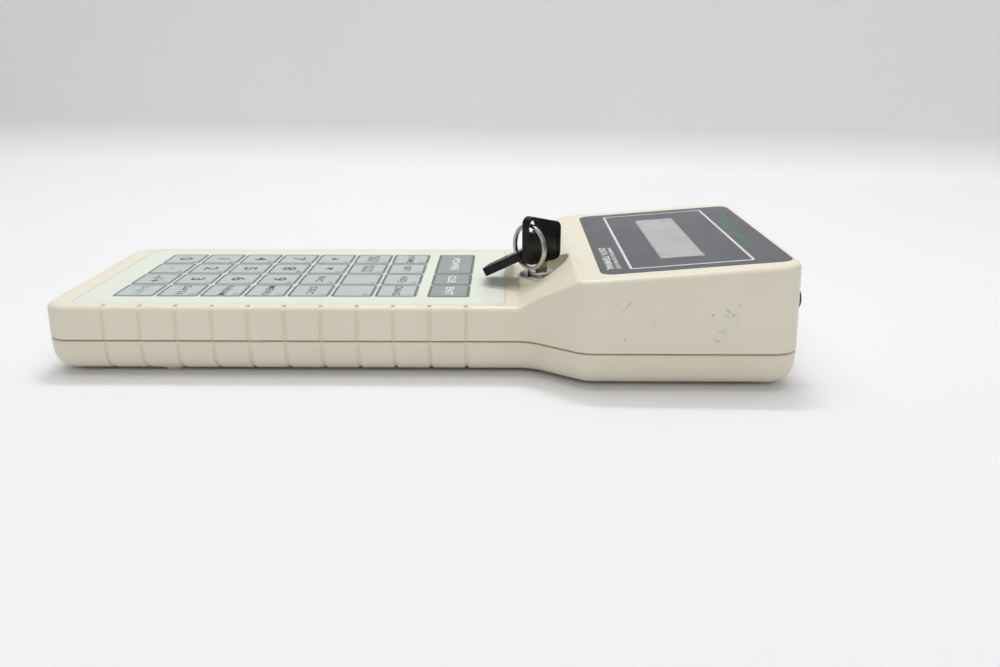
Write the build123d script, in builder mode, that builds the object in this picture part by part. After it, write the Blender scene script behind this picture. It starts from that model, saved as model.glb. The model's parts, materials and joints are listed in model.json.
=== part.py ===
from build123d import *
from math import atan2, cos, radians, sin, tan
import os

# Handheld data collector: a ribbed grip with a flat keypad, a wider display head that rises behind a
# ramp, and a key lock on the ramp with its key, split ring and spare key.
# Millimetres. The origin is the middle of the footprint on the surface that the feet stand on.
# +X points from the grip to the display head, +Y to the left of a person who faces +X, +Z up.

os.makedirs("parts", exist_ok=True)

# Case outline in plan, at the parting line between the two shells
grip_end_x = -125.6
head_end_x = 123.6
grip_half = 42.5
head_half = 54.4
flare_start_x = 36.5
flare_end_x = 54.0
flare_bend_r = 12.0
end_corner_r = 9.0
draft = 2.5

# Case outline from the side
base_z = 1.1
parting_z = 12.7
keypad_z = 24.2
ramp_foot_x = 33.4
ramp_top_x = 52.0
head_low_z = 36.0
head_slope = 4.6
ramp_foot_r = 3.0
ramp_top_r = 5.0
top_edge_r = 2.0
base_edge_r = 7.0
parting_edge_r = 0.5
parting_gap = 0.42
parting_lip = 1.2
wall = 2.5
floor_z = base_z + wall

# Side grooves of the grip
groove_count = 11
groove_pitch = 12.01
groove_first_x = -104.2
groove_r = 0.6
shoulder_r = 4.0
shoulder_depth = 0.16
groove_reach = 0.7

# Keypad: seven columns of four light keys, and one column of three dark keys
key_pitch_x = 15.0
key_pitch_y = 15.09
key_gap = 0.85
key_first_x = -106.2
key_rows = 4
dark_key_x = 2.3
key_corner_r = 1.0
key_thick = 1.2
key_proud = 0.15
key_travel = 0.35
key_clearance = 0.13
overlay_left_x = -116.4
overlay_right_x = 28.8
overlay_half = 37.6
overlay_thick = 0.6
overlay_corner_r = 2.0
overlay_gap = 0.15
well_margin = 2.4
circuit_thick = 1.0
dome_height = 0.3
dome_r = 5.0
dome_taper = 80
key_edge_r = 0.2
tray_roof_z = keypad_z - 4.5

# Display head
panel_left = 7.6
panel_length = 60.9
panel_half = 46.9
panel_corner_r = 4.0
panel_thick = 0.5
window_u = 36.1
window_length = 14.8
window_width = 63.2
bezel_length = 24.2
bezel_width = 71.2
bezel_depth = 5.6
module_length = 36.0
module_width = 79.0
module_hole_inset = 5.0
module_hole_r = 1.3
chip_r = 7.0
chip_pitch = 36.0
chip_height = 1.5
chip_taper = 30
glass_thick = 2.2
bezel_wall = 0.6
pane_gap = 0.05
board_thick = 1.6

# Key lock on the ramp
lock_x = 41.6
lock_y = -15.25
lock_platform_z = 28.15
lock_platform_r = 8.2
lock_recess_r = 9.6
lock_pad_r = 11.4
lock_pad_z = lock_platform_z - 3.0
lock_barrel_r = 4.75
lock_flange_r = 7.6
lock_flange_thick = 0.7
lock_hub_r = 4.8
lock_hub_height = 1.3
lock_barrel_z = 15.6
lock_plug_r = 3.3
running_gap = 0.05
keyway_width = 5.1
keyway_thick = 2.0
lock_flange_edge_r = 0.35
lock_nut_r = 7.4
lock_nut_thick = 2.5
lock_nut_room = 0.4
plug_tail = 0.8
switch_size = 13.0
switch_corner_r = 1.0
switch_gap = 1.0

# Keys of the lock, ring
key_heading = 45.0
head_bottom_z = 33.1
head_hole_side = 8.5
head_plain_side = 8.5
head_tall = 17.6
head_short = 13.2
head_thick = 3.1
head_corner_r = 2.6
head_edge_r = 0.35
head_hole = (-5.15, 13.3)
head_hole_r = 2.3
head_hole_bevel = 0.6
radius_match = 0.05
head_panel_inset = 1.5
head_panel_depth = 0.25
blade_width = 4.3
blade_thick = 1.6
blade_length = 17.0
blade_grip = 4.0
tip_bevel = 1.2
bitting_depths = (0.5, 1.0, 0.6, 0.9)
bitting_pitch = 2.4
bitting_first = 3.0
bitting_width = 1.2
ring_mid_r = 7.5
ring_wire = 1.2
ring_stack = 1.3
ring_edge_r = 0.25
coil_gap = 0.2
coil_gap_depth = 0.25
ring_lift = 0.5
ring_shift = 1.05
ring_heading = -49.5
spare_angle = 38.0
spare_fall = 26.0
spare_tilt = 11.0

# Socket in the end wall
socket_y = -38.0
socket_z = 26.5
socket_proud = 2.0
socket_nut_r = 4.0
socket_thread_r = 3.0
socket_bore_r = 1.8
socket_bore_depth = 14.0
socket_inside = 14.0
socket_body_r = 4.6
socket_nut_seat = 0.35
socket_nut_edge_r = 0.6

# Battery compartment in the head
cell_r = 7.2
cell_length = 50.5
cell_pitch = 14.8
cell_count = 5
bay_x = 84.5
bay_length = 57.0
bay_half = 37.6
box_wall = 1.5
cover_lip = 1.5
cover_gap = 0.25
grip_rib_count = 5
grip_rib_pitch = 2.4
grip_rib_width = 1.2
grip_rib_length = 26.0
grip_rib_depth = 0.6
grip_rib_inset = 8.0
cell_button_r = 2.7
cell_button_height = 1.0
cell_play = 0.4
contact_thick = 0.5
contact_size = 10.0
contact_corner_r = 1.5
spring_r = 4.0
spring_bore_r = 3.2

# Fasteners and feet
case_screw_places = [(-100, 31), (-100, -31), (20, 31), (20, -31), (101, 43.5), (101, -43.5)]
screw_boss_r = 3.6
screw_shank_r = 1.45
screw_head_r = 2.8
screw_head_thick = 2.0
screw_sink = 3.0
screw_reach = 5.0
screw_edge = 0.4
pilot_depth = 6.0
cross_length = 3.0
cross_width = 0.7
cross_depth = 1.2
foot_places = [(-84.9, 32.7), (-84.9, -32.7), (114.4, 43.5), (114.4, -43.5)]
foot_r = 4.2
foot_pocket = 1.4
foot_edge = 0.5

# Main circuit board in the grip
board_left_x = -114.0
board_right_x = 50.0
board_half = 26.0
board_z = 9.4
board_screw_places = [(-108, 22), (-108, -22), (28, 22), (28, -22)]
board_corner_r = 2.0
processor_x = -30.0
processor_size = 20.0
memory_places = [(-64, 8), (-64, -10)]
memory_length = 28.0
memory_width = 12.0
connector_place = (6, 12)
connector_length = 8.0
connector_width = 24.0
package_thick = 3.0

plate_clearance = 0.1
slope = radians(head_slope)
head_plane = Plane(
    origin=(ramp_top_x, 0, head_low_z),
    x_dir=(cos(slope), 0, sin(slope)),
    z_dir=(-sin(slope), 0, cos(slope)),
)


def save(builder, name):
    """Label a finished piece and write its STEP file."""
    builder.part.label = name
    export_step(builder.part, f"parts/{name}.step")


def case_plan(inset=0.0):
    """Return the plan outline of the case, moved inwards by inset."""
    corners = [
        (grip_end_x, -grip_half),
        (flare_start_x, -grip_half),
        (flare_end_x, -head_half),
        (head_end_x, -head_half),
        (head_end_x, head_half),
        (flare_end_x, head_half),
        (flare_start_x, grip_half),
        (grip_end_x, grip_half),
    ]
    half_radii = [end_corner_r, flare_bend_r, flare_bend_r, end_corner_r]
    with BuildSketch() as plan:
        with BuildLine():
            FilletPolyline(*corners, radius=half_radii + half_radii[::-1], close=True)
        make_face()
        if inset:
            offset(amount=-inset, mode=Mode.REPLACE)
    return plan.sketch


def rim_edges(faces):
    """Return the outer edges of a patch of touching faces."""
    edges = [edge for face in faces for edge in face.edges()]
    return [edge for edge in edges if sum(edge.is_same(other) for other in edges) == 1]


def roof_profile(grip_z, drop):
    """Return the side view below the roof line, for the XZ plane, with the head lowered by drop."""
    reach = 10
    ramp_shift = drop * tan(atan2(head_low_z - keypad_z, ramp_top_x - ramp_foot_x) / 2)
    ramp_rate = (ramp_top_x - ramp_foot_x) / (head_low_z - keypad_z)
    top_x = ramp_top_x + ramp_shift
    top_z = head_low_z - drop
    foot_x = top_x - (top_z - grip_z) * ramp_rate
    end_x = head_end_x + reach
    end_z = top_z + (end_x - top_x) * tan(slope)
    low_z = parting_z - reach
    start_x = grip_end_x - reach
    roof_points = [(start_x, grip_z), (foot_x, grip_z), (top_x, top_z), (end_x, end_z)]
    with BuildSketch() as profile:
        with BuildLine():
            roof = FilletPolyline(*roof_points, radius=[ramp_foot_r, ramp_top_r])
            Polyline(roof @ 1, (end_x, low_z), (start_x, low_z), roof @ 0)
        make_face()
    return profile.sketch


case_outline = case_plan()
cavity_outline = case_plan(wall)
outer_profile = roof_profile(keypad_z, 0)
cavity_profile = roof_profile(tray_roof_z, wall)

# ---- Groove cutters: one round channel with a shallow shoulder, following the side of each shell ----
with BuildSketch() as groove_section:
    Circle(groove_r)
    with Locations((0, shoulder_depth - shoulder_r)):
        Circle(shoulder_r)

top_half = grip_half - (keypad_z - parting_z) * tan(radians(draft))
base_half = grip_half - (parting_z - base_z) * tan(radians(draft))
overrun = 1.0
spill = overrun * tan(radians(draft))

with BuildPart() as upper_groove:
    with BuildLine():
        upper_path = FilletPolyline(
            (0, top_half - top_edge_r - groove_reach, keypad_z),
            (0, top_half, keypad_z),
            (0, grip_half + spill, parting_z - overrun),
            radius=top_edge_r,
        )
    with BuildSketch(Plane(origin=upper_path @ 0, x_dir=(1, 0, 0), z_dir=upper_path % 0)):
        add(groove_section.sketch)
    sweep(path=upper_path)
    mirror(about=Plane.XZ)

with BuildPart() as lower_groove:
    with BuildLine():
        lower_path = FilletPolyline(
            (0, grip_half + spill, parting_z + overrun),
            (0, base_half, base_z),
            (0, base_half - base_edge_r - groove_reach, base_z),
            radius=base_edge_r,
        )
    with BuildSketch(Plane(origin=lower_path @ 0, x_dir=(1, 0, 0), z_dir=lower_path % 0)):
        add(groove_section.sketch)
    sweep(path=lower_path)
    mirror(about=Plane.XZ)

groove_places = [(groove_first_x + groove_pitch * index, 0) for index in range(groove_count)]

# ---- Upper shell ----
roof_reach = 45
overlay_x = (overlay_left_x + overlay_right_x) / 2
overlay_length = overlay_right_x - overlay_left_x
well_depth = key_thick - key_proud + key_travel + plate_clearance + dome_height + circuit_thick
circuit_z = keypad_z - well_depth

with BuildPart() as upper_cavity:
    with BuildSketch(Plane.XY.offset(parting_z)):
        add(cavity_outline)
    extrude(amount=roof_reach, taper=draft)
    with BuildSketch(Plane.XZ):
        add(cavity_profile)
    extrude(amount=head_half, both=True, mode=Mode.INTERSECT)
    # A thick pad stays under the lock platform
    with BuildSketch(Plane.XY.offset(lock_pad_z)):
        with Locations((lock_x, lock_y)):
            Circle(lock_pad_r)
    extrude(amount=roof_reach, mode=Mode.SUBTRACT)
    # Room for the nut under that pad
    with BuildSketch(Plane.XY.offset(parting_z)):
        with Locations((lock_x, lock_y)):
            Circle(lock_nut_r + lock_nut_room)
    extrude(amount=lock_pad_z - parting_z)
    # Posts for the case screws stay as well
    with BuildSketch(Plane.XY.offset(parting_z)):
        with Locations(*case_screw_places):
            Circle(screw_boss_r)
    extrude(amount=roof_reach, mode=Mode.SUBTRACT)

with BuildPart() as upper_shell:
    with BuildSketch(Plane.XY.offset(parting_z)):
        add(case_outline)
    extrude(amount=roof_reach, taper=draft)
    with BuildSketch(Plane.XZ):
        add(outer_profile)
    extrude(amount=head_half + wall, both=True, mode=Mode.INTERSECT)
    roof_faces = upper_shell.faces().filter_by(lambda face: face.normal_at().Z > 0.3)
    fillet(rim_edges(roof_faces), top_edge_r)
    seam = upper_shell.faces().sort_by(Axis.Z)[0].outer_wire()
    fillet(seam.edges(), parting_edge_r)
    # Level platform for the lock: half of it stands above the ramp's foot, half is sunk into the ramp
    with BuildSketch(Plane.XY.offset(lock_platform_z)):
        with Locations((lock_x, lock_y)):
            Circle(lock_recess_r)
    extrude(amount=roof_reach, mode=Mode.SUBTRACT)
    with BuildSketch(Plane.XY.offset(keypad_z - wall)):
        with Locations((lock_x, lock_y)):
            Circle(lock_platform_r)
    extrude(amount=lock_platform_z - keypad_z + wall)
    add(upper_cavity.part, mode=Mode.SUBTRACT)
    # Hole for the lock barrel
    with BuildSketch(Plane.XY.offset(parting_z)):
        with Locations((lock_x, lock_y)):
            Circle(lock_barrel_r + plate_clearance)
    extrude(amount=roof_reach, mode=Mode.SUBTRACT)
    # Recess for the keypad overlay, and the deeper well for the keys and their circuit
    with BuildSketch(Plane.XY.offset(keypad_z - overlay_thick)):
        with Locations((overlay_x, 0)):
            RectangleRounded(
                overlay_length + 2 * overlay_gap,
                2 * (overlay_half + overlay_gap),
                overlay_corner_r + overlay_gap,
            )
    extrude(amount=overlay_thick + overrun, mode=Mode.SUBTRACT)
    with BuildSketch(Plane.XY.offset(circuit_z)):
        with Locations((overlay_x, 0)):
            RectangleRounded(
                overlay_length - 2 * well_margin, 2 * (overlay_half - well_margin), overlay_corner_r
            )
    extrude(amount=well_depth, mode=Mode.SUBTRACT)
    # Recess for the display panel, and the opening behind it for the display's metal bezel
    with BuildSketch(head_plane.offset(-panel_thick)):
        with Locations((panel_left + panel_length / 2, 0)):
            RectangleRounded(
                panel_length + 2 * overlay_gap, 2 * (panel_half + overlay_gap), panel_corner_r + overlay_gap
            )
    extrude(amount=panel_thick + overrun, mode=Mode.SUBTRACT)
    with BuildSketch(head_plane.offset(-2 * wall)):
        with Locations((window_u, 0)):
            Rectangle(bezel_length + 2 * overlay_gap, bezel_width + 2 * overlay_gap)
    extrude(amount=2 * wall, mode=Mode.SUBTRACT)
    # Hole for the socket in the end wall
    with BuildSketch(Plane.YZ.offset(head_end_x - 2 * wall)):
        with Locations((socket_y, socket_z)):
            Circle(socket_thread_r + plate_clearance)
    extrude(amount=4 * wall, mode=Mode.SUBTRACT)
    # Pilot holes in the screw posts
    with BuildSketch(Plane.XY.offset(parting_z)):
        with Locations(*case_screw_places):
            Circle(screw_shank_r + running_gap)
    extrude(amount=pilot_depth, mode=Mode.SUBTRACT)
    with Locations(*groove_places):
        add(upper_groove.part, mode=Mode.SUBTRACT)
save(upper_shell, "upper_shell")

# ---- Lower shell ----
with BuildPart() as lower_cavity:
    with BuildSketch(Plane.XY.offset(parting_z)):
        add(cavity_outline)
    extrude(amount=floor_z - parting_z, taper=draft)
    floor_face = lower_cavity.faces().sort_by(Axis.Z)[0]
    fillet(floor_face.edges(), base_edge_r - wall)
    # Screw bosses and board posts stand on the floor
    with BuildSketch(Plane.XY.offset(floor_z)):
        with Locations(*case_screw_places):
            Circle(screw_boss_r)
    extrude(amount=parting_z - floor_z, mode=Mode.SUBTRACT)
    with BuildSketch(Plane.XY.offset(floor_z)):
        with Locations(*board_screw_places):
            Circle(screw_boss_r)
    extrude(amount=board_z - floor_z, mode=Mode.SUBTRACT)

with BuildPart() as lower_shell:
    with BuildSketch(Plane.XY.offset(parting_z)):
        add(case_outline)
    extrude(amount=base_z - parting_z, taper=draft)
    base_face = lower_shell.faces().sort_by(Axis.Z)[0]
    fillet(base_face.edges(), base_edge_r)
    # Shadow gap under the upper shell, all round the outside
    with BuildSketch(Plane.XY.offset(parting_z)):
        add(case_outline)
        add(case_plan(parting_lip), mode=Mode.SUBTRACT)
    extrude(amount=-parting_gap, mode=Mode.SUBTRACT)
    step_face = lower_shell.faces().filter_by(Axis.Z).sort_by(Axis.Z)[-2]
    fillet(step_face.outer_wire().edges(), parting_edge_r)
    add(lower_cavity.part, mode=Mode.SUBTRACT)
    # Battery opening, with a shallow ledge for the cover
    with BuildSketch(Plane.XY.offset(base_z)):
        with Locations((bay_x, 0)):
            Rectangle(bay_length, 2 * bay_half)
    extrude(amount=2 * wall, mode=Mode.SUBTRACT)
    with BuildSketch(Plane.XY.offset(base_z)):
        with Locations((bay_x, 0)):
            RectangleRounded(bay_length + 2 * cover_lip, 2 * (bay_half + cover_lip), cover_lip)
    extrude(amount=wall / 2, mode=Mode.SUBTRACT)
    # Counterbored screw holes from below, and pilot holes for the board screws
    with Locations(Plane(origin=(0, 0, base_z), z_dir=(0, 0, -1), x_dir=(1, 0, 0))):
        with Locations(*[(x, -y) for x, y in case_screw_places]):
            CounterBoreHole(
                screw_shank_r + running_gap,
                screw_head_r + plate_clearance,
                screw_sink,
                depth=parting_z - base_z,
            )
    with BuildSketch(Plane.XY.offset(floor_z)):
        with Locations(*board_screw_places):
            Circle(screw_shank_r + running_gap)
    extrude(amount=board_z - floor_z, mode=Mode.SUBTRACT)
    # Pockets for the feet
    with BuildSketch(Plane.XY.offset(base_z)):
        with Locations(*foot_places):
            Circle(foot_r)
    extrude(amount=foot_pocket, mode=Mode.SUBTRACT)
    with Locations(*groove_places):
        add(lower_groove.part, mode=Mode.SUBTRACT)
save(lower_shell, "lower_shell")

with BuildPart() as rubber_feet:
    with BuildSketch():
        with Locations(*foot_places):
            Circle(foot_r)
    extrude(amount=base_z + foot_pocket)
    foot_rims = rubber_feet.faces().group_by(Axis.Z)[0].edges()
    chamfer(foot_rims, foot_edge)
save(rubber_feet, "rubber_feet")

screw_top_z = parting_z + screw_reach
with BuildPart() as case_screws:
    with BuildSketch(Plane.XY.offset(base_z + screw_sink)):
        with Locations(*case_screw_places):
            Circle(screw_head_r)
    extrude(amount=-screw_head_thick)
    head_rims = case_screws.faces().group_by(Axis.Z)[0].edges()
    chamfer(head_rims, screw_edge)
    with BuildSketch(Plane.XY.offset(base_z + screw_sink)):
        with Locations(*case_screw_places):
            Circle(screw_shank_r)
    extrude(amount=screw_top_z - base_z - screw_sink)
    # Cross recess in each head
    with BuildSketch(Plane.XY.offset(base_z + screw_sink - screw_head_thick)):
        with Locations(*case_screw_places):
            Rectangle(cross_length, cross_width)
            Rectangle(cross_width, cross_length)
    extrude(amount=cross_depth, mode=Mode.SUBTRACT)
save(case_screws, "case_screws")

# ---- Battery compartment ----
cover_z = base_z + wall / 2
with BuildPart() as battery_cover:
    with BuildSketch(Plane.XY.offset(base_z)):
        with Locations((bay_x, 0)):
            RectangleRounded(
                bay_length + 2 * (cover_lip - cover_gap),
                2 * (bay_half + cover_lip - cover_gap),
                cover_lip - cover_gap,
            )
    extrude(amount=wall / 2 - running_gap)
    with BuildSketch(Plane.XY.offset(cover_z - running_gap)):
        with Locations((bay_x, 0)):
            Rectangle(bay_length - 2 * cover_gap, 2 * (bay_half - cover_gap))
    extrude(amount=wall / 2)
    # Finger grip: a row of shallow ribs cut across the cover near its edge
    with BuildSketch(Plane.XY.offset(base_z)):
        with Locations((bay_x + bay_length / 2 - grip_rib_inset, 0)):
            with GridLocations(grip_rib_pitch, 0, grip_rib_count, 1):
                SlotOverall(grip_rib_length, grip_rib_width, rotation=90)
    extrude(amount=grip_rib_depth, mode=Mode.SUBTRACT)
save(battery_cover, "battery_cover")

box_low_z = floor_z
cell_z = floor_z + cell_play + cell_r
box_top_z = cell_z + cell_r + cell_play
with BuildPart() as battery_box:
    with BuildSketch(Plane.XY.offset(box_low_z)):
        with Locations((bay_x, 0)):
            Rectangle(bay_length + 2 * box_wall, 2 * (bay_half + box_wall))
    extrude(amount=box_top_z + box_wall - box_low_z)
    with BuildSketch(Plane.XY.offset(box_low_z)):
        with Locations((bay_x, 0)):
            Rectangle(bay_length, 2 * bay_half)
    extrude(amount=box_top_z - box_low_z, mode=Mode.SUBTRACT)
save(battery_box, "battery_box")

with BuildPart() as battery_cells:
    with BuildSketch(Plane.YZ.offset(bay_x - cell_length / 2)):
        with Locations((0, cell_z)):
            with GridLocations(cell_pitch, 0, cell_count, 1):
                Circle(cell_r)
    extrude(amount=cell_length - cell_button_height)
    with BuildSketch(Plane.YZ.offset(bay_x + cell_length / 2 - cell_button_height)):
        with Locations((0, cell_z)):
            with GridLocations(cell_pitch, 0, cell_count, 1):
                Circle(cell_button_r)
    extrude(amount=cell_button_height)
save(battery_cells, "battery_cells")

contact_gap = (bay_length - cell_length) / 2
with BuildPart() as battery_contacts:
    with BuildSketch(Plane.YZ.offset(bay_x + bay_length / 2 - contact_thick)):
        with Locations((0, cell_z)):
            with GridLocations(cell_pitch, 0, cell_count, 1):
                RectangleRounded(contact_size, contact_size, contact_corner_r)
    extrude(amount=contact_thick)
    with BuildSketch(Plane.YZ.offset(bay_x - bay_length / 2)):
        with Locations((0, cell_z)):
            with GridLocations(cell_pitch, 0, cell_count, 1):
                RectangleRounded(contact_size, contact_size, contact_corner_r)
    extrude(amount=contact_thick)
    # Each cell's negative end presses on a conical spring, shown here as its outer form
    with BuildSketch(Plane.YZ.offset(bay_x - bay_length / 2 + contact_thick)):
        with Locations((0, cell_z)):
            with GridLocations(cell_pitch, 0, cell_count, 1):
                Circle(spring_r)
                Circle(spring_bore_r, mode=Mode.SUBTRACT)
    extrude(amount=contact_gap - contact_thick)
save(battery_contacts, "battery_contacts")

# ---- Keypad ----
key_size_x = key_pitch_x - key_gap
key_size_y = key_pitch_y - key_gap
key_top_z = keypad_z + key_proud


def row_y(row):
    """Y of the middle of a keypad row; row 0 is on the +Y side."""
    return (key_rows / 2 - 0.5 - row) * key_pitch_y


def column_x(column):
    """X of the middle of a light key's column; column 0 is nearest the grip end."""
    return key_first_x + (column + 0.5) * key_pitch_x


# Each light column is named from the +Y side to the -Y side
light_keys = [
    ["key_digit_0", "key_point", "key_sign", "key_shift"],
    ["key_digit_1", "key_digit_2", "key_digit_3", "key_data"],
    ["key_digit_4", "key_digit_5", "key_digit_6", "key_param"],
    ["key_digit_7", "key_digit_8", "key_digit_9", "key_menu"],
    ["key_up", "key_down", "key_increase", "key_decrease"],
    ["key_function_1", "key_function_2", "key_function_3", "key_function_4"],
    ["key_home", "key_set", "key_adjust", "key_diagnosis"],
]
key_layout = [
    (name, column_x(column), row_y(row), key_size_y)
    for column, names in enumerate(light_keys)
    for row, name in enumerate(names)
]
dark_column_x = dark_key_x + key_size_x / 2
power_y = (row_y(0) + row_y(1)) / 2
key_layout += [
    ("key_power", dark_column_x, power_y, key_size_y + key_pitch_y),
    ("key_clear", dark_column_x, row_y(2), key_size_y),
    ("key_enter", dark_column_x, row_y(3), key_size_y),
]

for name, x, y, width in key_layout:
    with BuildPart() as keypad_key:
        with BuildSketch(Plane.XY.offset(key_top_z - key_thick)):
            with Locations((x, y)):
                RectangleRounded(key_size_x, width, key_corner_r)
        extrude(amount=key_thick)
        fillet(keypad_key.faces().sort_by(Axis.Z)[-1].edges(), key_edge_r)
    save(keypad_key, name)

with BuildPart() as keypad_overlay:
    with BuildSketch(Plane.XY.offset(keypad_z - overlay_thick)):
        with Locations((overlay_x, 0)):
            RectangleRounded(overlay_length, 2 * overlay_half, overlay_corner_r)
        for name, x, y, width in key_layout:
            with Locations((x, y)):
                RectangleRounded(
                    key_size_x + 2 * key_clearance,
                    width + 2 * key_clearance,
                    key_corner_r + key_clearance,
                    mode=Mode.SUBTRACT,
                )
    extrude(amount=overlay_thick)
save(keypad_overlay, "keypad_overlay")

with BuildPart() as keypad_circuit:
    with BuildSketch(Plane.XY.offset(circuit_z)):
        with Locations((overlay_x, 0)):
            RectangleRounded(
                overlay_length - 2 * (well_margin + overlay_gap),
                2 * (overlay_half - well_margin - overlay_gap),
                overlay_corner_r,
            )
    extrude(amount=circuit_thick)
save(keypad_circuit, "keypad_circuit")

with BuildPart() as key_domes:
    for name, x, y, width in key_layout:
        with BuildSketch(Plane.XY.offset(circuit_z + circuit_thick)):
            with Locations((x, y)):
                Circle(dome_r)
        extrude(amount=dome_height, taper=dome_taper)
save(key_domes, "key_domes")

# ---- Display ----
with BuildPart() as display_panel:
    with BuildSketch(head_plane.offset(-panel_thick)):
        with Locations((panel_left + panel_length / 2, 0)):
            RectangleRounded(panel_length, 2 * panel_half, panel_corner_r)
        with Locations((window_u, 0)):
            Rectangle(window_length, window_width, mode=Mode.SUBTRACT)
    extrude(amount=panel_thick)
save(display_panel, "display_panel")

with BuildPart() as display_window:
    with BuildSketch(head_plane.offset(-panel_thick)):
        with Locations((window_u, 0)):
            Rectangle(window_length - 2 * pane_gap, window_width - 2 * pane_gap)
    extrude(amount=panel_thick - pane_gap)
save(display_window, "display_window")

bezel_w = -panel_thick - pane_gap
with BuildPart() as lcd_bezel:
    with BuildSketch(head_plane.offset(bezel_w)):
        with Locations((window_u, 0)):
            Rectangle(bezel_length, bezel_width)
    extrude(amount=-bezel_depth)
    with BuildSketch(head_plane.offset(bezel_w - bezel_wall)):
        with Locations((window_u, 0)):
            Rectangle(bezel_length - 2 * bezel_wall, bezel_width - 2 * bezel_wall)
    extrude(amount=-bezel_depth, mode=Mode.SUBTRACT)
    with BuildSketch(head_plane.offset(bezel_w)):
        with Locations((window_u, 0)):
            Rectangle(window_length + bezel_wall, window_width + bezel_wall)
    extrude(amount=-bezel_wall, mode=Mode.SUBTRACT)
save(lcd_bezel, "lcd_bezel")

glass_w = bezel_w - bezel_wall - pane_gap
with BuildPart() as lcd_glass:
    with BuildSketch(head_plane.offset(glass_w)):
        with Locations((window_u, 0)):
            Rectangle(bezel_length - 3 * bezel_wall, bezel_width - 3 * bezel_wall)
    extrude(amount=-glass_thick)
save(lcd_glass, "lcd_glass")

with BuildPart() as lcd_board:
    with BuildSketch(head_plane.offset(bezel_w - bezel_depth)):
        with Locations((window_u, 0)):
            Rectangle(module_length, module_width)
            with GridLocations(module_length - module_hole_inset, module_width - module_hole_inset, 2, 2):
                Circle(module_hole_r, mode=Mode.SUBTRACT)
    extrude(amount=-board_thick)
    # Driver chips under blobs of resin, on the back
    with BuildSketch(head_plane.offset(bezel_w - bezel_depth - board_thick)):
        with Locations((window_u, 0)):
            with GridLocations(0, chip_pitch, 1, 2):
                Circle(chip_r)
    extrude(amount=-chip_height, taper=chip_taper)
save(lcd_board, "lcd_board")

# ---- Main board ----
board_top_z = board_z + board_thick
with BuildPart() as main_board:
    with BuildSketch(Plane.XY.offset(board_z)):
        with Locations(((board_left_x + board_right_x) / 2, 0)):
            RectangleRounded(board_right_x - board_left_x, 2 * board_half, board_corner_r)
        with Locations(*board_screw_places):
            Circle(screw_shank_r + plate_clearance, mode=Mode.SUBTRACT)
    extrude(amount=board_thick)
    # Processor, memory and connector stand on the board
    with BuildSketch(Plane.XY.offset(board_top_z)):
        with Locations((processor_x, 0)):
            Rectangle(processor_size, processor_size)
        with Locations(*memory_places):
            Rectangle(memory_length, memory_width)
        with Locations(connector_place):
            Rectangle(connector_length, connector_width)
    extrude(amount=package_thick)
save(main_board, "main_board")

with BuildPart() as board_screws:
    with BuildSketch(Plane.XY.offset(board_top_z)):
        with Locations(*board_screw_places):
            Circle(screw_head_r)
    extrude(amount=screw_head_thick)
    fillet(board_screws.faces().group_by(Axis.Z)[-1].edges(), screw_edge)
    with BuildSketch(Plane.XY.offset(board_top_z)):
        with Locations(*board_screw_places):
            Circle(screw_shank_r)
    extrude(amount=floor_z - board_top_z)
save(board_screws, "board_screws")

# ---- Key lock ----
flange_z = lock_platform_z + lock_flange_thick
hub_z = flange_z + lock_hub_height
with BuildPart() as lock_barrel:
    with BuildSketch(Plane.XY.offset(lock_platform_z)):
        with Locations((lock_x, lock_y)):
            Circle(lock_flange_r)
    extrude(amount=lock_flange_thick)
    fillet(lock_barrel.faces().sort_by(Axis.Z)[-1].edges(), lock_flange_edge_r)
    with BuildSketch(Plane.XY.offset(flange_z)):
        with Locations((lock_x, lock_y)):
            Circle(lock_hub_r)
    extrude(amount=lock_hub_height)
    fillet(lock_barrel.faces().sort_by(Axis.Z)[-1].edges(), lock_flange_edge_r)
    with BuildSketch(Plane.XY.offset(lock_barrel_z)):
        with Locations((lock_x, lock_y)):
            Circle(lock_barrel_r)
    extrude(amount=lock_platform_z - lock_barrel_z)
    with BuildSketch(Plane.XY.offset(lock_barrel_z)):
        with Locations((lock_x, lock_y)):
            Circle(lock_plug_r + running_gap)
    extrude(amount=hub_z - lock_barrel_z, mode=Mode.SUBTRACT)
save(lock_barrel, "lock_barrel")

with BuildPart() as lock_nut:
    with BuildSketch(Plane.XY.offset(lock_pad_z - lock_nut_thick)):
        with Locations((lock_x, lock_y)):
            RegularPolygon(lock_nut_r, 6)
            Circle(lock_barrel_r + running_gap, mode=Mode.SUBTRACT)
    extrude(amount=lock_nut_thick)
save(lock_nut, "lock_nut")

heading = radians(key_heading)
along_key = Vector(cos(heading), sin(heading), 0)
across_key = Vector(sin(heading), -cos(heading), 0)
plug_plane = Plane(origin=(lock_x, lock_y, lock_barrel_z), x_dir=along_key, z_dir=(0, 0, 1))
with BuildPart() as lock_plug:
    with BuildSketch(plug_plane):
        Circle(lock_plug_r)
        Rectangle(keyway_width, keyway_thick, mode=Mode.SUBTRACT)
    extrude(amount=hub_z - lock_barrel_z - pane_gap)
    # Tail that works the switch
    with BuildSketch(plug_plane):
        Circle(lock_plug_r)
    extrude(amount=-plug_tail)
save(lock_plug, "lock_plug")

with BuildPart() as lock_switch:
    with BuildSketch(Plane.XY.offset(board_top_z)):
        with Locations((lock_x, lock_y)):
            RectangleRounded(switch_size, switch_size, switch_corner_r)
    extrude(amount=lock_barrel_z - switch_gap - board_top_z)
save(lock_switch, "lock_switch")


# ---- Keys of the lock: X across the head, Y away from the blade, hole near the taller corner ----
with BuildSketch() as head_outline:
    with BuildLine():
        FilletPolyline(
            (-head_hole_side, 0),
            (head_plain_side, 0),
            (head_plain_side, head_short),
            (-head_hole_side, head_tall),
            radius=head_corner_r,
            close=True,
        )
    make_face()
    with Locations(head_hole):
        Circle(head_hole_r, mode=Mode.SUBTRACT)

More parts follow.
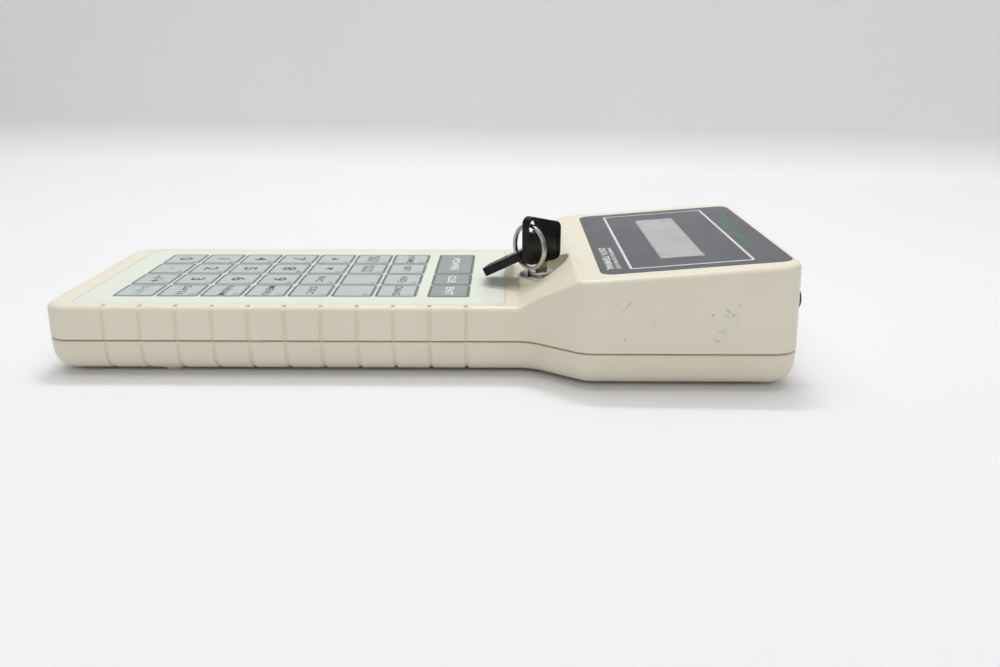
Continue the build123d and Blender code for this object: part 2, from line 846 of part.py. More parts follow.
# Shallow panel inside the rim of each broad face, clear of the hole
panel_left_s = head_hole[0] + head_hole_r + head_panel_inset
panel_right_s = head_plain_side - head_panel_inset
panel_top = head_short - head_panel_inset
panel_rise = (panel_right_s - panel_left_s) * (head_tall - head_short) / (head_hole_side + head_plain_side)
with BuildSketch() as head_panel:
    with BuildLine():
        Polyline(
            (panel_left_s, head_panel_inset),
            (panel_right_s, head_panel_inset),
            (panel_right_s, panel_top),
            (panel_left_s, panel_top + panel_rise),
            close=True,
        )
    make_face()

# Flat blade from inside the head down to a bevelled tip, with bitting along one edge
blade_half = blade_width / 2
with BuildSketch() as blade_outline:
    with BuildLine():
        Polyline(
            (-blade_half, blade_grip),
            (-blade_half, tip_bevel - blade_length),
            (tip_bevel - blade_half, -blade_length),
            (blade_half - tip_bevel, -blade_length),
            (blade_half, tip_bevel - blade_length),
            (blade_half, blade_grip),
            close=True,
        )
    make_face()
    for index, depth in enumerate(bitting_depths):
        with Locations((blade_half, bitting_first + bitting_pitch * index - blade_length)):
            Rectangle(2 * depth, bitting_width, mode=Mode.SUBTRACT)


def is_hole_rim(edge):
    """True for the two circles where the ring's hole meets the broad faces."""
    is_ring = edge.geom_type == GeomType.CIRCLE and edge.is_closed
    return is_ring and abs(edge.radius - head_hole_r) < radius_match


lock_key_plane = Plane(origin=(lock_x, lock_y, head_bottom_z), x_dir=along_key, z_dir=across_key)
ring_top = lock_key_plane.from_local_coords(Vector(head_hole[0] - ring_shift, head_hole[1] + ring_lift, 0))
ring_turn = radians(ring_heading)
ring_across = Vector(cos(ring_turn), sin(ring_turn), 0)
ring_normal = Vector(-sin(ring_turn), cos(ring_turn), 0)
ring_centre = ring_top - Vector(0, 0, ring_mid_r)

# The spare key hangs on the far lower side of the ring, and leans down towards the keypad
low = radians(spare_angle)
spare_point = ring_centre - ring_across * (ring_mid_r * cos(low)) - Vector(0, 0, ring_mid_r * sin(low))
fall = radians(spare_fall)
tilt = radians(spare_tilt)
spare_x_dir = Vector(-cos(fall), 0, -sin(fall))
spare_z_dir = spare_x_dir.cross(Vector(0, -cos(tilt), sin(tilt))).normalized()
spare_y_dir = spare_z_dir.cross(spare_x_dir)
spare_origin = spare_point - spare_x_dir * head_hole[0] - spare_y_dir * head_hole[1]
spare_key_plane = Plane(origin=spare_origin, x_dir=spare_x_dir, z_dir=spare_z_dir)

for prefix, plane in (("lock_key", lock_key_plane), ("spare_key", spare_key_plane)):
    with BuildPart() as blade:
        with BuildSketch(plane):
            add(blade_outline.sketch)
        extrude(amount=blade_thick / 2, both=True)
    save(blade, f"{prefix}_blade")
    with BuildPart() as moulding:
        with BuildSketch(plane):
            add(head_outline.sketch)
        extrude(amount=head_thick / 2, both=True)
        faces_across = moulding.faces().sort_by(Axis(plane.origin, plane.z_dir))
        rounded_edges = faces_across[0].outer_wire().edges() + faces_across[-1].outer_wire().edges()
        fillet(rounded_edges, head_edge_r)
        chamfer(moulding.edges().filter_by(is_hole_rim), head_hole_bevel)
        for side in (1, -1):
            with BuildSketch(plane.offset(side * head_thick / 2)):
                add(head_panel.sketch)
            extrude(amount=-side * head_panel_depth, mode=Mode.SUBTRACT)
        add(blade.part, mode=Mode.SUBTRACT)
    save(moulding, f"{prefix}_head")

ring_plane = Plane(origin=ring_centre, x_dir=ring_across, z_dir=ring_normal)
with BuildPart() as split_ring:
    with BuildSketch(ring_plane.offset(-ring_stack / 2)):
        Circle(ring_mid_r + ring_wire / 2)
        Circle(ring_mid_r - ring_wire / 2, mode=Mode.SUBTRACT)
    extrude(amount=ring_stack)
    fillet(split_ring.edges(), ring_edge_r)
    # Gap between the two coils, round the outside
    with BuildSketch(ring_plane.offset(-coil_gap / 2)):
        Circle(ring_mid_r + ring_wire)
        Circle(ring_mid_r + ring_wire / 2 - coil_gap_depth, mode=Mode.SUBTRACT)
    extrude(amount=coil_gap, mode=Mode.SUBTRACT)
save(split_ring, "split_ring")

# ---- Socket ----
socket_face_x = head_end_x + socket_proud
with BuildPart() as charge_socket:
    with BuildSketch(Plane.YZ.offset(head_end_x - socket_inside)):
        with Locations((socket_y, socket_z)):
            Circle(socket_body_r)
    extrude(amount=socket_inside - 2 * wall)
    with BuildSketch(Plane.YZ.offset(head_end_x - 2 * wall)):
        with Locations((socket_y, socket_z)):
            Circle(socket_thread_r)
    extrude(amount=2 * wall + socket_proud)
    with BuildSketch(Plane.YZ.offset(socket_face_x)):
        with Locations((socket_y, socket_z)):
            Circle(socket_bore_r)
    extrude(amount=-socket_bore_depth, mode=Mode.SUBTRACT)
save(charge_socket, "charge_socket")

with BuildPart() as socket_nut:
    with BuildSketch(Plane.YZ.offset(head_end_x - socket_nut_seat)):
        with Locations((socket_y, socket_z)):
            Circle(socket_nut_r)
            Circle(socket_thread_r, mode=Mode.SUBTRACT)
    extrude(amount=socket_proud - socket_nut_seat)
    fillet(socket_nut.faces().sort_by(Axis.X)[-1].outer_wire().edges(), socket_nut_edge_r)
save(socket_nut, "socket_nut")
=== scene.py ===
import json
import math

import bmesh
import bpy
from mathutils import Matrix, Vector


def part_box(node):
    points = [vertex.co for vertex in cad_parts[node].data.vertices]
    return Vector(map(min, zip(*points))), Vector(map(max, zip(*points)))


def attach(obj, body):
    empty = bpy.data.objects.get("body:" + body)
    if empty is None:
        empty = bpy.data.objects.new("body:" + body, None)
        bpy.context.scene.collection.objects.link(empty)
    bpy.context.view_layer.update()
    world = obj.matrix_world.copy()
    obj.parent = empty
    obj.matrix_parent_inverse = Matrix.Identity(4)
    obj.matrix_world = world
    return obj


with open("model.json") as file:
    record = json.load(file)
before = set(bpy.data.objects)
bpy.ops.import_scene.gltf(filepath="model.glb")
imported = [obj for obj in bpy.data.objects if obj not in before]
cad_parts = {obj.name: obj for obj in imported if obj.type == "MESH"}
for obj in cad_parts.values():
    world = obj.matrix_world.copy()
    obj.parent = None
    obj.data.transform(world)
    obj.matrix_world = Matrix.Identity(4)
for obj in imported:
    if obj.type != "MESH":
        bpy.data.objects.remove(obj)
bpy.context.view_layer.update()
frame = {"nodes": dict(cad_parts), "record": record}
nodes = frame["nodes"]
MM = 0.001

# lengths below are millimetres unless a comment says otherwise
GRAIN_DEPTH = 0.012
TARNISH = 0.35  # share of the plating's darker tone
PRINT_THICK = 0.012
PRINT_ROOT = 0.03  # how far a key's outline goes down into the key
CAP_SHARE = 0.7  # capital height over the font's size
SIDE_WALL_Y = -49.0  # the display head's -Y wall lies beyond this, the grip's side does not
WINDOW_X = 87.95  # middle of the display window
HEAD_X, HEAD_Z, HEAD_SLOPE = 52.0, 36.0, 4.6  # foot of the head's top plane, and its angle in degrees

# ---------------------------------------------------------------- materials


def srgb(hex_code):
    """Linear colour of a #rrggbb code."""
    out = []
    for i in (1, 3, 5):
        c = int(hex_code[i : i + 2], 16) / 255
        out.append(c / 12.92 if c <= 0.04045 else ((c + 0.055) / 1.055) ** 2.4)
    return (*out, 1.0)


class Graph:
    """Small helper round one material's node tree."""

    def __init__(self, name):
        self.mat = bpy.data.materials.new(name)
        self.mat.use_nodes = True
        self.tree = self.mat.node_tree
        self.tree.nodes.clear()
        self.out = self.tree.nodes.new("ShaderNodeOutputMaterial")
        self.bsdf = self.tree.nodes.new("ShaderNodeBsdfPrincipled")
        self.tree.links.new(self.bsdf.outputs[0], self.out.inputs["Surface"])
        self.coord = self.tree.nodes.new("ShaderNodeTexCoord").outputs["Object"]

    def put(self, socket, value):
        if isinstance(value, bpy.types.NodeSocket):
            self.tree.links.new(value, socket)
        elif value is not None:
            socket.default_value = value

    def math(self, op, a, b=None):
        n = self.tree.nodes.new("ShaderNodeMath")
        n.operation = op
        for s, v in zip(n.inputs, (a, b)):
            self.put(s, v)
        return n.outputs[0]

    def noise(self, scale, detail=2.0, rough=0.5, stretch=None):
        vec = self.coord
        if stretch:
            m = self.tree.nodes.new("ShaderNodeMapping")
            self.put(m.inputs["Vector"], vec)
            m.inputs["Scale"].default_value = stretch
            vec = m.outputs[0]
        n = self.tree.nodes.new("ShaderNodeTexNoise")
        self.put(n.inputs["Vector"], vec)
        n.inputs["Scale"].default_value = scale
        n.inputs["Detail"].default_value = detail
        n.inputs["Roughness"].default_value = rough
        return n.outputs["Fac"]

    def voronoi(self, scale):
        n = self.tree.nodes.new("ShaderNodeTexVoronoi")
        self.put(n.inputs["Vector"], self.coord)
        n.inputs["Scale"].default_value = scale
        return n.outputs["Distance"]

    def ramp(self, value, low, high, to_low=0.0, to_high=1.0):
        n = self.tree.nodes.new("ShaderNodeMapRange")
        n.interpolation_type = "SMOOTHSTEP"
        self.put(n.inputs["Value"], value)
        for key, v in (("From Min", low), ("From Max", high), ("To Min", to_low), ("To Max", to_high)):
            n.inputs[key].default_value = v
        return n.outputs["Result"]

    def mix(self, factor, a, b):
        n = self.tree.nodes.new("ShaderNodeMix")
        n.data_type = "RGBA"
        self.put(n.inputs["Factor"], factor)
        self.put(n.inputs["A"], a)
        self.put(n.inputs["B"], b)
        return n.outputs["Result"]

    def axes(self):
        n = self.tree.nodes.new("ShaderNodeSeparateXYZ")
        self.put(n.inputs[0], self.coord)
        return n.outputs

    def bump(self, height, distance, strength=1.0):
        n = self.tree.nodes.new("ShaderNodeBump")
        n.inputs["Strength"].default_value = strength
        n.inputs["Distance"].default_value = distance
        self.put(n.inputs["Height"], height)
        self.put(self.bsdf.inputs["Normal"], n.outputs[0])

    def crevice(self, distance):
        """1 in corners and grooves, 0 on open faces."""
        n = self.tree.nodes.new("ShaderNodeAmbientOcclusion")
        n.samples = 8
        n.inputs["Distance"].default_value = distance
        return self.ramp(n.outputs["AO"], 0.35, 0.95, 1.0, 0.0)

    def set(self, **values):
        names = {
            "color": "Base Color",
            "rough": "Roughness",
            "metal": "Metallic",
            "spec": "Specular IOR Level",
            "coat": "Coat Weight",
            "coat_rough": "Coat Roughness",
        }
        for key, v in values.items():
            self.put(self.bsdf.inputs[names[key]], v)
        return self.mat


def moulded(name, base, shade, rough=0.38, grain=5200.0, shade_and_grime=0.22, marks=None):
    """Injection-moulded plastic: fine spark grain, slow tone drift, grime and painted shade in grooves."""
    g = Graph(name)
    drift = g.ramp(g.noise(34.0, 3.0), 0.3, 0.75)
    color = g.mix(g.math("MULTIPLY", drift, 0.35), srgb(base), srgb(shade))
    fine = g.noise(grain, 2.0, 0.6)
    color = g.mix(g.math("MULTIPLY", g.ramp(fine, 0.35, 0.7), 0.10), color, srgb(shade))
    if shade_and_grime:
        # painted shade: darker beige laid into grooves and corners by an ambient-occlusion mask, broken up
        # by noise like grime
        shade_and_grime_mask = g.math("MULTIPLY", g.crevice(1.6 * MM), g.ramp(g.noise(160.0, 3.0), 0.25, 0.7, 0.55, 1.0))
        color = g.mix(g.math("MULTIPLY", shade_and_grime_mask, shade_and_grime), color, srgb("#a59a7c"))
    worn = g.ramp(g.noise(75.0, 4.0, 0.6), 0.35, 0.7, rough - 0.06, rough + 0.07)
    g.set(color=color, rough=worn, spec=0.45)
    if marks:
        marks(g, color)
    g.bump(g.math("ADD", fine, g.math("MULTIPLY", g.noise(420.0, 2.0), 0.6)), GRAIN_DEPTH * MM, 0.8)
    return g.mat


def film(name, base, shade, rough=0.38, weave=3400.0):
    """Printed polyester film with a fine pebbled texture."""
    g = Graph(name)
    drift = g.ramp(g.noise(55.0, 3.0), 0.3, 0.75)
    color = g.mix(g.math("MULTIPLY", drift, 0.4), srgb(base), srgb(shade))
    pebble = g.voronoi(weave)
    color = g.mix(g.math("MULTIPLY", g.ramp(pebble, 0.2, 0.8), 0.07), color, srgb(shade))
    smear = g.ramp(g.noise(60.0, 3.0, 0.5), 0.2, 0.8, rough - 0.02, rough + 0.03)
    g.set(color=color, rough=smear, spec=0.5)
    g.bump(g.math("ADD", pebble, g.math("MULTIPLY", g.noise(900.0, 2.0), 0.5)), 0.008 * MM, 0.7)
    return g.mat


def ink(name, base, shade, rough=0.5):
    """Screen-printed ink with slightly uneven cover."""
    g = Graph(name)
    cover = g.ramp(g.noise(1600.0, 3.0, 0.6), 0.25, 0.8)
    g.set(color=g.mix(g.math("MULTIPLY", cover, 0.45), srgb(base), srgb(shade)), spec=0.4)
    g.set(rough=g.ramp(g.noise(700.0), 0.3, 0.7, rough - 0.08, rough + 0.08))
    g.bump(g.noise(2600.0, 2.0), 0.004 * MM, 0.6)
    return g.mat


def metal(name, base, shade, rough=0.16, scratch=(400.0, 9000.0, 400.0)):
    """Plated metal with hairline scratches, cloudy tarnish and painted shade in its corners."""
    g = Graph(name)
    cloud = g.ramp(g.noise(260.0, 4.0, 0.6), 0.35, 0.75)
    hair = g.noise(1.0, 2.0, 0.6, stretch=scratch)
    color = g.mix(g.math("MULTIPLY", cloud, TARNISH), srgb(base), srgb(shade))
    # painted shade: near-black darkening in corners and recesses from an ambient-occlusion mask
    color = g.mix(g.math("MULTIPLY", g.crevice(0.8 * MM), 0.5), color, srgb("#3a3630"))
    rough_here = g.math("ADD", g.ramp(hair, 0.3, 0.8, rough, rough + 0.12), g.math("MULTIPLY", cloud, 0.08))
    g.set(color=color, metal=1.0, rough=rough_here)
    g.bump(g.math("ADD", hair, g.math("MULTIPLY", g.noise(1300.0), 0.4)), 0.006 * MM, 0.5)
    return g.mat


def scuffs(g, color):
    """Scratches, specks and a paler rectangle on the display head's -Y wall."""
    x, y, z = g.axes()
    wall_only = g.math("LESS_THAN", y, SIDE_WALL_Y * MM)

    def patch(cx, cz, rx, rz, turn):
        dx = g.math("SUBTRACT", x, cx * MM)
        dz = g.math("SUBTRACT", z, cz * MM)
        c, s = math.cos(turn), math.sin(turn)
        u = g.math("ADD", g.math("MULTIPLY", dx, c), g.math("MULTIPLY", dz, s))
        v = g.math("SUBTRACT", g.math("MULTIPLY", dz, c), g.math("MULTIPLY", dx, s))
        u = g.math("POWER", g.math("DIVIDE", g.math("ABSOLUTE", u), rx * MM), 2.0)
        v = g.math("POWER", g.math("DIVIDE", g.math("ABSOLUTE", v), rz * MM), 2.0)
        return g.ramp(g.math("ADD", u, v), 0.35, 1.0, 1.0, 0.0)

    def slab(cx, cz, rx, rz, soft):
        dx = g.math("SUBTRACT", g.math("ABSOLUTE", g.math("SUBTRACT", x, cx * MM)), (rx - soft) * MM)
        dz = g.math("SUBTRACT", g.math("ABSOLUTE", g.math("SUBTRACT", z, cz * MM)), (rz - soft) * MM)
        return g.ramp(g.math("MAXIMUM", dx, dz), 0.0, soft * MM, 1.0, 0.0)

    ghost = g.math("MULTIPLY", slab(83.6, 22.8, 20.4, 7.5, 1.0), wall_only)
    ghost = g.math("MULTIPLY", ghost, g.ramp(g.noise(120.0, 3.0), 0.2, 0.6, 0.6, 1.0))
    color = g.mix(g.math("MULTIPLY", ghost, 0.5), color, srgb("#ece3da"))
    total = None
    strokes = [
        (67.3, 28.4, 2.3, 0.22, 0.85),
        (68.0, 29.4, 1.3, 0.16, 0.8),
        (65.9, 27.0, 0.7, 0.14, 0.3),
        (66.7, 17.6, 0.6, 0.3, -0.6),
        (75.6, 22.1, 2.1, 0.12, 1.0),
        (77.8, 24.7, 0.35, 0.3, 0.2),
        (94.0, 25.6, 0.6, 0.4, 0.3),
        (98.6, 27.0, 1.1, 0.3, -0.6),
        (102.2, 29.0, 0.5, 0.25, 0.0),
    ]
    for cx, cz, rx, rz, turn in strokes:
        m = patch(cx, cz, rx, rz, turn)
        total = m if total is None else g.math("MAXIMUM", total, m)
    broken = g.ramp(g.noise(1500.0, 3.0, 0.7), 0.42, 0.6)
    total = g.math("MULTIPLY", total, g.math("ADD", g.math("MULTIPLY", broken, 0.6), 0.4))
    smear = g.math("MAXIMUM", patch(100.4, 24.6, 3.6, 2.4, -0.5), patch(96.6, 18.6, 5.0, 2.0, 0.85))
    speckle = g.ramp(g.noise(900.0, 4.0, 0.75), 0.5, 0.68)
    smear = g.math("MULTIPLY", g.math("MULTIPLY", smear, speckle), 0.8)
    total = g.math("MULTIPLY", g.math("MAXIMUM", total, smear), wall_only)
    color = g.mix(g.math("MULTIPLY", total, 0.55), color, srgb("#77726a"))
    g.set(color=color)


MATERIALS = {
    "top_plastic": moulded("top_plastic", "#ece5d1", "#e2dac3", marks=scuffs),
    "base_plastic": moulded("base_plastic", "#eae2cf", "#ded5c0"),
    "foot_rubber": moulded("foot_rubber", "#ddd8c8", "#c3bca8", rough=0.55, grain=2600.0, shade_and_grime=0.3),
    "screw_steel": metal("screw_steel", "#b9bab9", "#85847f", rough=0.3),
    "inner_plastic": moulded("inner_plastic", "#232325", "#151516", shade_and_grime=0.0, rough=0.5),
    "cell_jacket": moulded("cell_jacket", "#3c4450", "#2a3038", shade_and_grime=0.0, rough=0.35),
    "contact_steel": metal("contact_steel", "#c9c7bf", "#8e8a80", rough=0.25),
    "overlay_plastic": film("overlay_plastic", "#e5e9db", "#dee2d4"),
    "circuit_board": film("circuit_board", "#1f5a35", "#17452a", rough=0.3),
    "lock_chrome": metal("lock_chrome", "#d4d2cc", "#8d8981", rough=0.14),
    "key_steel": metal("key_steel", "#c8c4b8", "#85807a", rough=0.22, scratch=(400.0, 400.0, 9000.0)),
    "ring_steel": metal("ring_steel", "#d0cec8", "#7c7972", rough=0.16),
    "light_key": film("light_key", "#bdc4c0", "#b6bdb9"),
    "green_key": film("green_key", "#bdc4c0", "#b6bdb9"),
    "dark_key": film("dark_key", "#969a97", "#8e928f"),
    "panel_plastic": film("panel_plastic", "#404146", "#3b3c41", rough=0.3, weave=4200.0),
}


def key_plastic():
    """Satin black moulding with scattered fine scratches and pale dust specks."""
    g = Graph("key_plastic")
    scratch = g.ramp(g.noise(1.0, 3.0, 0.7, stretch=(900.0, 900.0, 4200.0)), 0.58, 0.75)
    dust = g.ramp(g.noise(1300.0, 4.0, 0.7), 0.62, 0.8)
    color = g.mix(g.math("MULTIPLY", scratch, 0.2), srgb("#0b0c0e"), srgb("#2a2b2e"))
    color = g.mix(g.math("MULTIPLY", dust, 0.08), color, srgb("#6b6a66"))
    g.set(color=color, rough=g.ramp(g.noise(300.0, 3.0), 0.3, 0.7, 0.22, 0.34), spec=0.28)
    g.bump(g.math("ADD", g.noise(2400.0, 2.0), g.math("MULTIPLY", scratch, 0.5)), 0.012 * MM, 0.7)
    return g.mat


def lcd_face(name, gloss):
    """Grey reflective display, bare or under its clear cover: darker border, faint character cells."""
    g = Graph(name)
    x, y, _ = g.axes()
    inner_x = g.math("ABSOLUTE", g.math("SUBTRACT", x, WINDOW_X * MM))
    inner_y = g.math("ABSOLUTE", y)
    edge = g.math("MAXIMUM", g.ramp(inner_x, 6.2 * MM, 6.9 * MM), g.ramp(inner_y, 30.4 * MM, 31.1 * MM))
    cell = g.math("FRACT", g.math("MULTIPLY", y, 1 / (3.6 * MM)))
    cell = g.ramp(g.math("ABSOLUTE", g.math("SUBTRACT", cell, 0.5)), 0.40, 0.45)
    line = g.math("FRACT", g.math("MULTIPLY", x, 1 / (5.6 * MM)))
    line = g.ramp(g.math("ABSOLUTE", g.math("SUBTRACT", line, 0.5)), 0.42, 0.46)
    grid = g.math("MAXIMUM", cell, line)
    color = g.mix(g.ramp(g.noise(90.0, 3.0), 0.3, 0.7), srgb("#aeb0ad"), srgb("#a3a6a3"))
    color = g.mix(g.math("MULTIPLY", g.math("SUBTRACT", 1.0, grid), 0.10), color, srgb("#8f9390"))
    color = g.mix(g.math("MULTIPLY", edge, 0.35), color, srgb("#7d807f"))
    g.set(color=color, rough=g.ramp(g.noise(200.0), 0.3, 0.7, 0.4, 0.5), spec=0.4)
    g.set(coat=gloss, coat_rough=g.ramp(g.noise(120.0, 4.0, 0.7), 0.3, 0.8, 0.12, 0.25))
    g.bump(g.noise(2500.0), 0.002 * MM, 0.4)
    return g.mat


MATERIALS["key_plastic"] = key_plastic()
MATERIALS["lcd"] = lcd_face("lcd", 0.0)
MATERIALS["window_glass"] = lcd_face("window_glass", 1.0)
INK = {
    "outline": ink("ink_outline", "#6a706e", "#626866"),
    "dark": ink("ink_dark", "#3c403f", "#4c504f"),
    "green": ink("ink_green", "#6fa58c", "#7fae98"),
    "white": ink("ink_white", "#f1f2ee", "#dfe1dd"),
    "silver": ink("ink_silver", "#dcdee0", "#c6c8ca", rough=0.35),
    "deep_green": ink("ink_deep_green", "#1f8f63", "#2b7a5b"),
    "mark": ink("ink_mark", "#cfc6ae", "#bfb59b"),
}

for part in frame["record"]["subparts"]:
    target = nodes[part["node"]].data
    target.materials.clear()
    target.materials.append(MATERIALS[part["material_slot"]])

# ---------------------------------------------------------------- printed pieces


def new_piece(name, bm, body, inks):
    mesh = bpy.data.meshes.new(name)
    bm.to_mesh(mesh)
    bm.free()
    obj = bpy.data.objects.new(name, mesh)
    bpy.context.scene.collection.objects.link(obj)
    for i in inks:
        mesh.materials.append(INK[i])
    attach(obj, body)


def rounded_loop(cx, cy, hx, hy, r, steps=6):
    points = []
    for sx, sy, start in ((1, 1, 0), (-1, 1, 90), (-1, -1, 180), (1, -1, 270)):
        for i in range(steps + 1):
            a = math.radians(start + 90 * i / steps)
            points.append((cx + sx * (hx - r) + r * math.cos(a), cy + sy * (hy - r) + r * math.sin(a)))
    return points


def add_ring(bm, centre, half, r, width, low, high, index, place=None):
    """A printed rounded-rectangle line of that width, with a little thickness."""
    outer = rounded_loop(*centre, *half, r)
    inner = rounded_loop(*centre, half[0] - width, half[1] - width, max(r - width, 0.15))
    place = place or Matrix.Identity(4)
    rows = []
    for loop, z in ((outer, low), (outer, high), (inner, high), (inner, low)):
        rows.append([bm.verts.new(place @ Vector((px * MM, py * MM, z * MM))) for px, py in loop])
    n = len(outer)
    for a in range(3):
        for i in range(n):
            quad = (rows[a][i], rows[a][(i + 1) % n], rows[a + 1][(i + 1) % n], rows[a + 1][i])
            face = bm.faces.new(quad)
            face.material_index = index


def add_text(bm, text, centre, height, index, z, stretch=1.3, place=None, max_width=None):
    """Lettering whose top points to +X and which reads towards -Y, cap height in millimetres."""
    curve = bpy.data.curves.new("text", "FONT")
    curve.body = text
    curve.size = height / CAP_SHARE
    curve.align_x = "CENTER"
    curve.align_y = "CENTER"
    curve.space_line = 0.85
    curve.resolution_u = 3
    curve.extrude = PRINT_THICK
    curve.offset = 0.018 * height
    obj = bpy.data.objects.new("text", curve)
    bpy.context.scene.collection.objects.link(obj)
    bpy.context.view_layer.update()
    mesh = bpy.data.meshes.new_from_object(obj)
    xs = [v.co.x for v in mesh.vertices] or [0]
    ys = [v.co.y for v in mesh.vertices] or [0]
    mid = ((min(xs) + max(xs)) / 2, (min(ys) + max(ys)) / 2)
    wide = (max(xs) - min(xs)) * stretch
    squeeze = min(1.0, max_width / wide) if max_width and wide else 1.0
    place = place or Matrix.Identity(4)
    for v in mesh.vertices:
        along = (v.co.x - mid[0]) * stretch * squeeze
        up = v.co.y - mid[1]
        v.co = place @ Vector(((centre[0] + up) * MM, (centre[1] - along) * MM, (z + v.co.z) * MM))
    first = len(bm.faces)
    bm.from_mesh(mesh)
    bm.faces.ensure_lookup_table()
    for face in bm.faces[first:]:
        face.material_index = index
    bpy.data.objects.remove(obj)
    bpy.data.curves.remove(curve)
    bpy.data.meshes.remove(mesh)


def add_bar(bm, place, centre, size, thick, index):
    """A printed straight stroke with bevelled corners, lying on the XY plane of that placement."""
    outline = rounded_loop(*centre, size[0] / 2, size[1] / 2, 0.4 * min(size), 3)
    top = [bm.verts.new(place @ Vector((px * MM, py * MM, thick * MM))) for px, py in outline]
    low = [bm.verts.new(place @ Vector((px * MM, py * MM, -thick * MM))) for px, py in outline]
    bm.faces.new(top).material_index = index
    for i in range(len(top)):
        j = (i + 1) % len(top)
        bm.faces.new((top[i], low[i], low[j], top[j])).material_index = index


def add_triangle(bm, centre, size, up, index, z):
    cx, cy = centre
    reach = up * size * 0.5
    corners = [(cx + reach, cy), (cx - reach, cy - size * 0.6), (cx - reach, cy + size * 0.6)]
    top = [bm.verts.new((px * MM, py * MM, (z + 0.015) * MM)) for px, py in corners]
    low = [bm.verts.new((px * MM, py * MM, (z - 0.01) * MM)) for px, py in corners]
    face = bm.faces.new(top)
    face.material_index = index
    for i in range(3):
        side = bm.faces.new((top[i], top[(i + 1) % 3], low[(i + 1) % 3], low[i]))
        side.material_index = index


# legend: (text, cap height, second green letter)
LEGENDS = {
    "key_digit_0": ("0", 4.9, "A"),
    "key_point": (".", 4.2, "B"),
    "key_sign": ("-/+", 4.2, "C"),
    "key_shift": ("SHIFT", 2.7, ""),
    "key_digit_1": ("1", 4.9, "D"),
    "key_digit_2": ("2", 4.9, "E"),
    "key_digit_3": ("3", 4.9, "F"),
    "key_data": ("DATA", 2.6, "G"),
    "key_digit_4": ("4", 4.9, "H"),
    "key_digit_5": ("5", 4.9, "I"),
    "key_digit_6": ("6", 4.9, "J"),
    "key_param": ("PARAM", 2.6, "K"),
    "key_digit_7": ("7", 4.9, "L"),
    "key_digit_8": ("8", 4.9, "M"),
    "key_digit_9": ("9", 4.9, "N"),
    "key_menu": ("MENU", 2.6, "O"),
    "key_up": ("", 3.0, "P"),
    "key_down": ("", 3.0, "Q"),
    "key_increase": ("INC", 2.6, "R"),
    "key_decrease": ("DEC", 2.6, "S"),
    "key_function_1": ("AUTO\nZERO", 2.0, "T"),
    "key_function_2": ("AUTO\nSPAN", 2.0, "U"),
    "key_function_3": ("", 2.0, "V"),
    "key_function_4": ("", 2.0, "W"),
    "key_home": ("HOME", 2.5, "X"),
    "key_set": ("SET", 2.6, "Y"),
    "key_adjust": ("ADJ", 2.6, "Z"),
    "key_diagnosis": ("DIAG", 2.6, "?"),
    "key_power": ("POWER", 2.9, ""),
    "key_clear": ("CLR", 2.9, ""),
    "key_enter": ("ENT", 2.9, ""),
}
for name, (word, height, second) in LEGENDS.items():
    lo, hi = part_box(name)
    cx, cy = (lo[0] + hi[0]) / 2 / MM, (lo[1] + hi[1]) / 2 / MM
    half = ((hi[0] - lo[0]) / 2 / MM - 0.16, (hi[1] - lo[1]) / 2 / MM - 0.16)
    top = hi[2] / MM
    dark_key = name in ("key_power", "key_clear", "key_enter")
    bm = bmesh.new()
    add_ring(bm, (cx, cy), half, 0.9, 0.75, top - PRINT_ROOT, top + PRINT_THICK, 0)
    if word:
        index = 3 if dark_key else (2 if name == "key_shift" else 1)
        add_text(bm, word, (cx, cy), height, index, top, max_width=2 * half[1] - 2.6)
    if name in ("key_up", "key_down"):
        add_triangle(bm, (cx, cy), 3.0, 1 if name == "key_up" else -1, 1, top)
    if second:
        add_text(bm, second, (cx + 4.4, cy - 4.6), 1.9, 2, top)
    new_piece("print_" + name, bm, name + "_body", ("outline", "dark", "green", "white"))

# ---------------------------------------------------------------- display head print
head = Matrix.Translation((HEAD_X * MM, 0, HEAD_Z * MM)) @ Matrix.Rotation(-math.radians(HEAD_SLOPE), 4, "Y")
bm = bmesh.new()
add_ring(bm, (37.2, 0), (20.1, 42.2), 1.2, 0.9, -0.02, PRINT_THICK, 0, place=head)
add_text(bm, "DATA TERMINAL", (11.2, -26.0), 2.3, 1, 0.0, place=head, max_width=30)
add_text(bm, "HANDHELD KEYPAD UNIT", (13.8, -26.0), 1.3, 1, 0.0, place=head, max_width=30)
add_text(bm, "DATA", (60.6, 13.5), 3.0, 2, 0.0, stretch=1.4, place=head, max_width=14)
add_text(bm, "READOUT UNIT", (60.6, -11.0), 2.0, 2, 0.0, stretch=1.3, place=head, max_width=30)
new_piece("print_display", bm, "case", ("silver", "white", "deep_green"))

# ---------------------------------------------------------------- two faint marks beside the display film
bm = bmesh.new()
for mark_x, mark_y, hook in ((53.6, -3.0, 1), (53.6, -29.8, -1)):
    spot = head @ Matrix.Translation(((mark_x - HEAD_X) * MM, mark_y * MM, 0.0))
    add_bar(bm, spot, (0.0, 0.0), (0.28, 3.4), PRINT_THICK, 0)
    add_bar(bm, spot, (1.5, hook * 1.6), (2.8, 0.28), PRINT_THICK, 0)
new_piece("print_lock_marks", bm, "case", ("mark",))

# ---------------------------------------------------------------- camera
cam_data = bpy.data.cameras.new("camera")
cam_data.sensor_width = 36.0
cam_data.lens = 30.75
cam_data.clip_start = 0.01
cam_data.clip_end = 50
camera = bpy.data.objects.new("camera", cam_data)
bpy.context.scene.collection.objects.link(camera)
camera.location = (0.02954, -0.30901, 0.10716)
forward = Vector((-0.00824, 0.94562, -0.32518))
camera.rotation_mode = "QUATERNION"
camera.rotation_quaternion = forward.to_track_quat("-Z", "Y")
bpy.context.scene.camera = camera

# ---------------------------------------------------------------- floor and backdrop


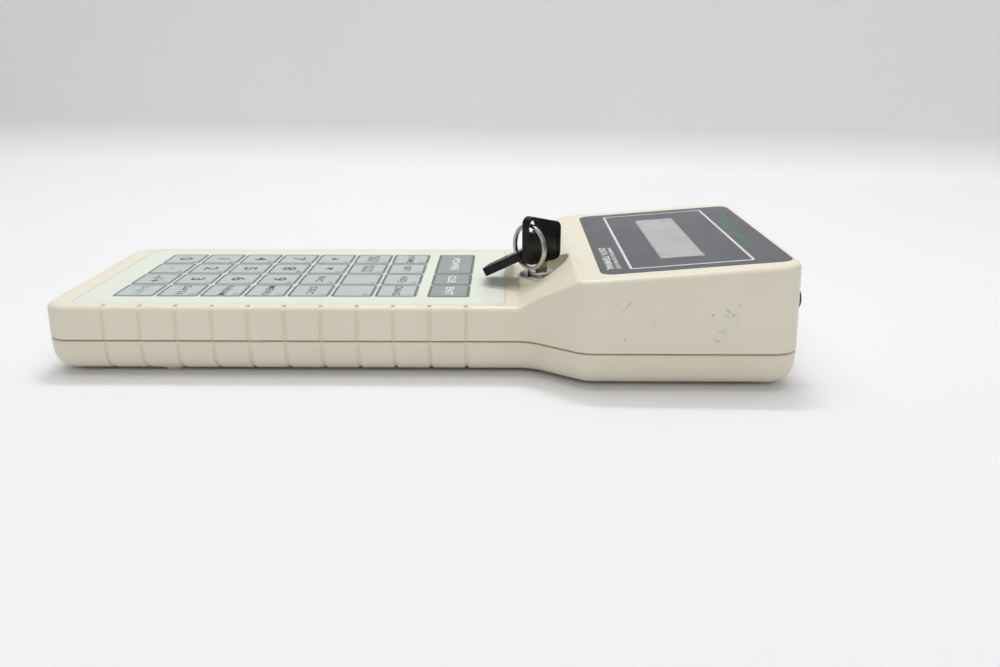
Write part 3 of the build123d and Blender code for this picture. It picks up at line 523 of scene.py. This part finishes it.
def backdrop_material(name, base, shade):
    g = Graph(name)
    drift = g.ramp(g.noise(3.0, 3.0), 0.3, 0.7)
    g.set(color=g.mix(drift, srgb(base), srgb(shade)), rough=0.75, spec=0.15)
    g.bump(g.noise(900.0, 2.0), 0.01 * MM, 0.3)
    return g.mat


floor_mat = backdrop_material("floor_paper", "#efefef", "#ededee")
bm = bmesh.new()
wall_y, bend, bend_steps = 0.475, 0.035, 12
profile = [(-3.0, 0.0), (-0.6, 0.0), (0.2, 0.0), (wall_y - bend, 0.0)]
for i in range(1, bend_steps + 1):
    a = math.radians(90 * i / bend_steps)
    profile.append((wall_y - bend + bend * math.sin(a), bend - bend * math.cos(a)))
profile += [(wall_y, 0.6), (wall_y, 3.0)]
turn = Matrix.Rotation(math.radians(-9.0), 4, "Z")
rows = []
for side in (-4.0, 4.0):
    rows.append([bm.verts.new(turn @ Vector((side, py, pz))) for py, pz in profile])
for i in range(len(profile) - 1):
    bm.faces.new((rows[0][i], rows[1][i], rows[1][i + 1], rows[0][i + 1]))
mesh = bpy.data.meshes.new("floor")
bm.to_mesh(mesh)
bm.free()
for polygon in mesh.polygons:
    polygon.use_smooth = True
floor = bpy.data.objects.new("floor", mesh)
bpy.context.scene.collection.objects.link(floor)
mesh.materials.append(floor_mat)

# ---------------------------------------------------------------- light


def area(name, location, target, size, power):
    data = bpy.data.lights.new(name, "AREA")
    data.shape = "RECTANGLE"
    data.size, data.size_y = size
    data.energy = power
    obj = bpy.data.objects.new(name, data)
    bpy.context.scene.collection.objects.link(obj)
    obj.location = location
    obj.rotation_mode = "QUATERNION"
    obj.rotation_quaternion = (Vector(target) - Vector(location)).to_track_quat("-Z", "Y")


area("top_light", (0.0, 0.30, 1.3), (0.0, 0.0, 0.0), (1.6, 1.2), 12.8)
area("key_light", (0.04, 0.52, 1.25), (0.0, 0.0, 0.0), (0.40, 0.24), 14.5)
area("front_fill", (0.1, -1.2, 0.85), (0.0, 0.0, 0.02), (1.6, 0.6), 4.6)
world = bpy.data.worlds.new("studio")
world.use_nodes = True
bpy.context.scene.world = world
world.node_tree.nodes["Background"].inputs[0].default_value = (0.95, 0.97, 1.0, 1)
world.node_tree.nodes["Background"].inputs[1].default_value = 0.28
bpy.context.scene.view_settings.view_transform = "Standard"
